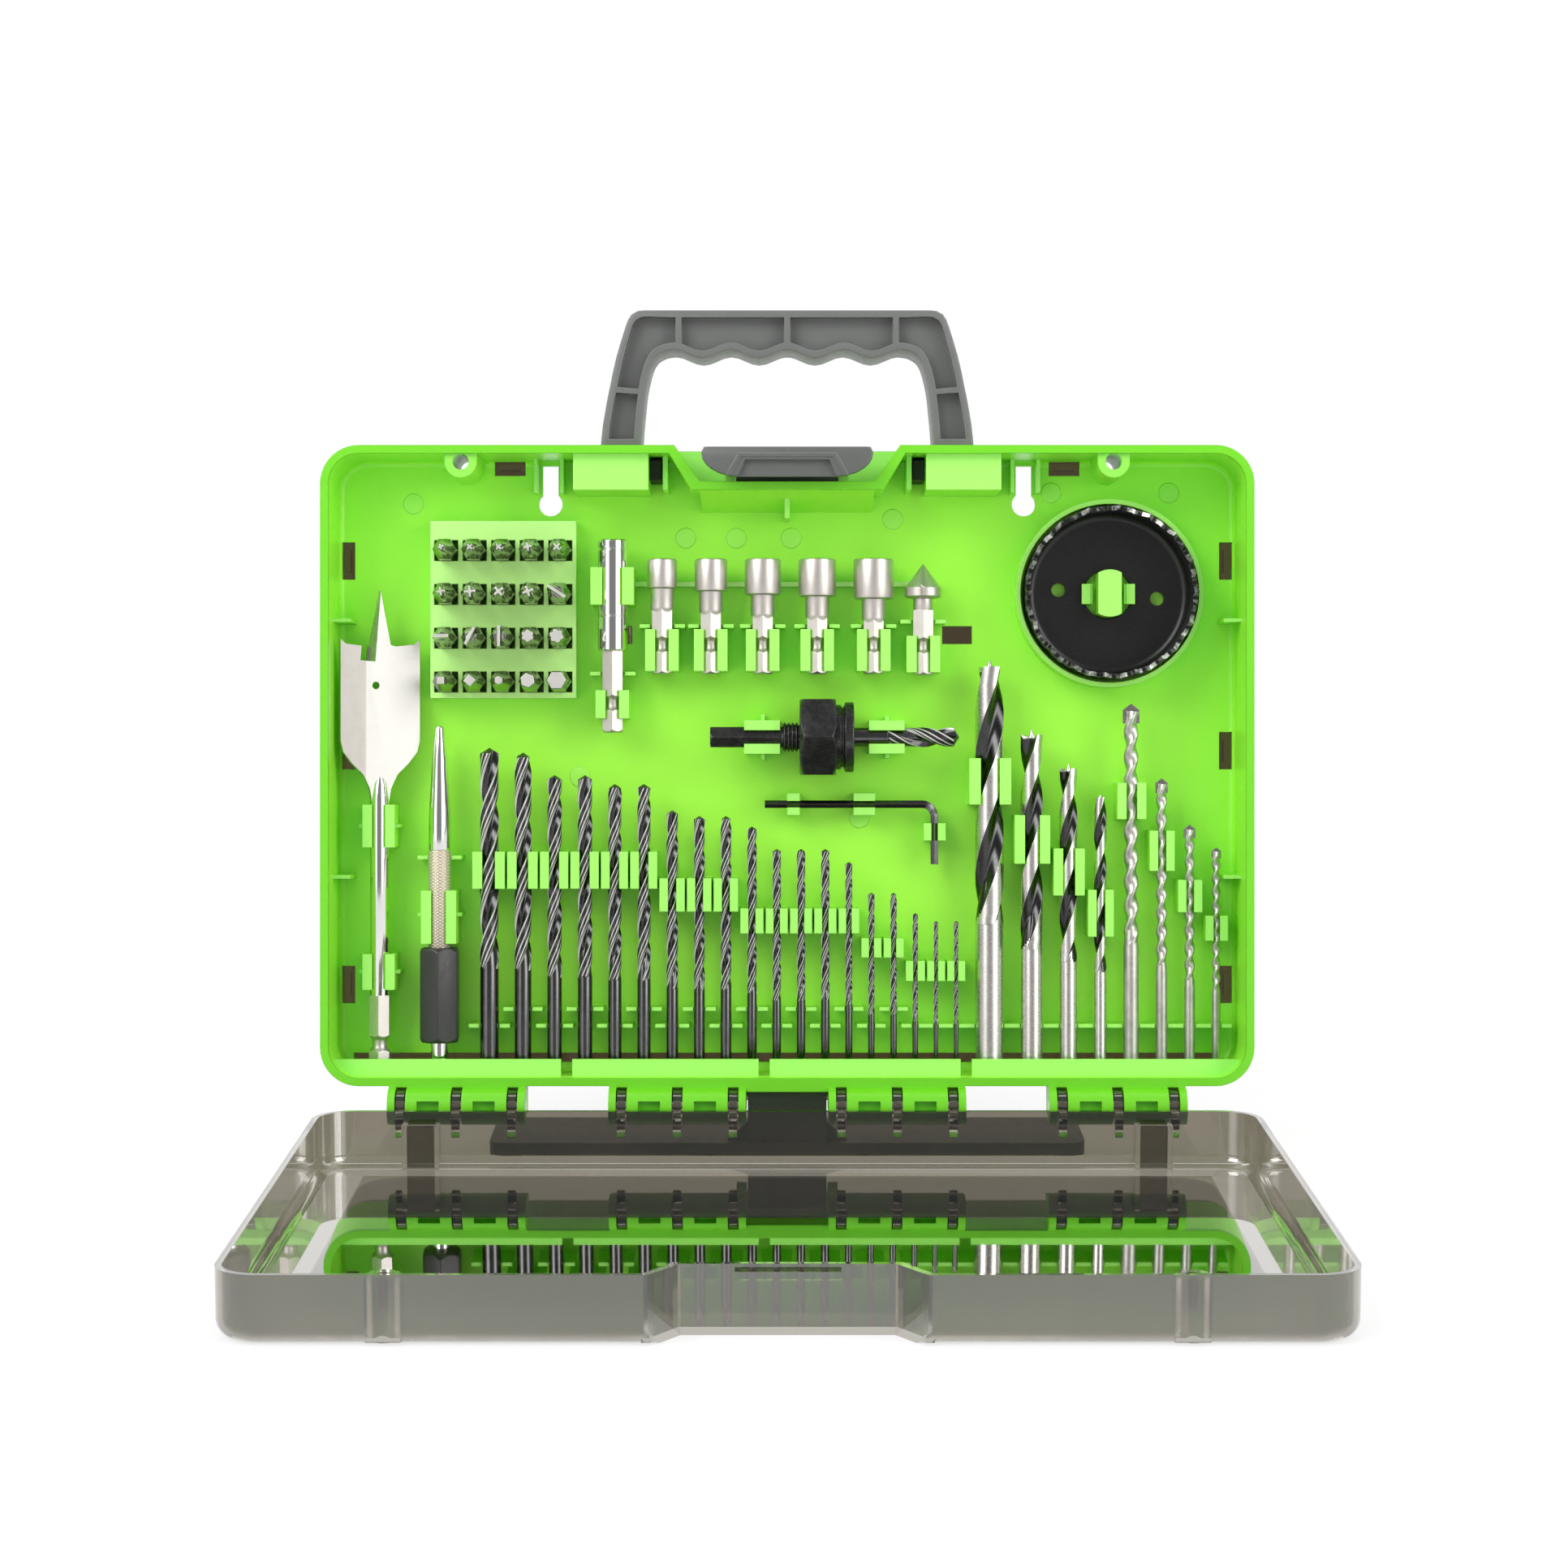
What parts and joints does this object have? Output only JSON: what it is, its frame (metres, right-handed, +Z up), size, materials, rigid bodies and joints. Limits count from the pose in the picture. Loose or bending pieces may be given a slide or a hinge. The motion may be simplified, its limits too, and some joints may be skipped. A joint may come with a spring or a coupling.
{
  "type": "drill bit case",
  "caption": "Flat tool case standing open: a leaning green tray of drills, sockets and driver bits, with a hinged smoke lid, latch, handle and fold-out stand.",
  "frame": {"origin": "bottom centre of the bounding box of the open, standing case", "axes": "+X to the right seen from the front, +Y to the back (behind the tray), +Z up; the lid lies in front, towards -Y"},
  "size_m": [0.29, 0.2594, 0.2643],
  "materials": {
    "green_plastic": "glossy moulded plastic, bright yellow green",
    "smoke_plastic": "clear smoke-brown plastic, glossy",
    "charcoal_plastic": "dark grey plastic, faint sheen",
    "grey_plastic": "mid grey plastic, faint sheen",
    "bright_steel": "ground steel, satin",
    "chrome_steel": "polished plated steel",
    "black_steel": "blackened steel with worn bright edges",
    "magnet_steel": "dull plated magnet"
  },
  "bodies": {
    "case_body": {"base_tray": "green_plastic", "back_cover": "smoke_plastic", "bit_block": "green_plastic", "handle": "charcoal_plastic", "hinge_pins": "bright_steel", "latch_pin": "bright_steel", "stand_pin": "bright_steel", "holder_sleeve": "chrome_steel", "holder_shank": "bright_steel", "holder_magnet": "magnet_steel", "nut_setter_1": "bright_steel", "nut_setter_2": "bright_steel", "nut_setter_3": "bright_steel", "nut_setter_4": "bright_steel", "nut_setter_5": "bright_steel", "nut_setter_magnets": "magnet_steel", "countersink": "bright_steel", "arbor_shank": "black_steel", "arbor_nut": "black_steel", "arbor_collar": "black_steel", "arbor_set_screw": "bright_steel", "pilot_drill": "black_steel", "hex_key": "black_steel", "hole_saw": "black_steel", "spade_bit": "bright_steel", "punch_body": "bright_steel", "punch_grip": "charcoal_plastic", "insert_bits_cross": "bright_steel", "insert_bits_slotted": "bright_steel", "insert_bits_star": "bright_steel", "insert_bits_square": "bright_steel", "insert_bits_hex": "bright_steel", "twist_drill_1": "black_steel", "twist_drill_2": "black_steel", "twist_drill_3": "black_steel", "twist_drill_4": "black_steel", "twist_drill_5": "black_steel", "twist_drill_6": "black_steel", "twist_drill_7": "black_steel", "twist_drill_8": "black_steel", "twist_drill_9": "black_steel", "twist_drill_10": "black_steel", "twist_drill_11": "black_steel", "twist_drill_12": "black_steel", "brad_drill_1": "bright_steel", "brad_drill_2": "bright_steel", "brad_drill_3": "bright_steel", "brad_drill_4": "bright_steel", "masonry_drill_1": "bright_steel", "masonry_drill_2": "bright_steel", "masonry_drill_3": "bright_steel", "masonry_drill_4": "bright_steel"},
    "lid_body": {"lid": "smoke_plastic"},
    "latch_body": {"latch": "grey_plastic"},
    "stand_body": {"stand": "charcoal_plastic"}
  },
  "joints": [
    {"name": "lid_hinge", "type": "hinge", "parent": "case_body", "child": "lid_body", "pos_m": [0, 0.0755, 0.0185], "axis": [-1, 0, 0], "range_deg": [0, 96.15]},
    {"name": "latch_pivot", "type": "hinge", "parent": "case_body", "child": "latch_body", "pos_m": [0, 0.10608, 0.21352], "axis": [-1, 0, 0], "range_deg": [0, 100]},
    {"name": "stand_pivot", "type": "hinge", "parent": "case_body", "child": "stand_body", "pos_m": [0, 0.09505, 0.01795], "axis": [1, 0, 0], "range_deg": [0, 83.7]}
  ]
}
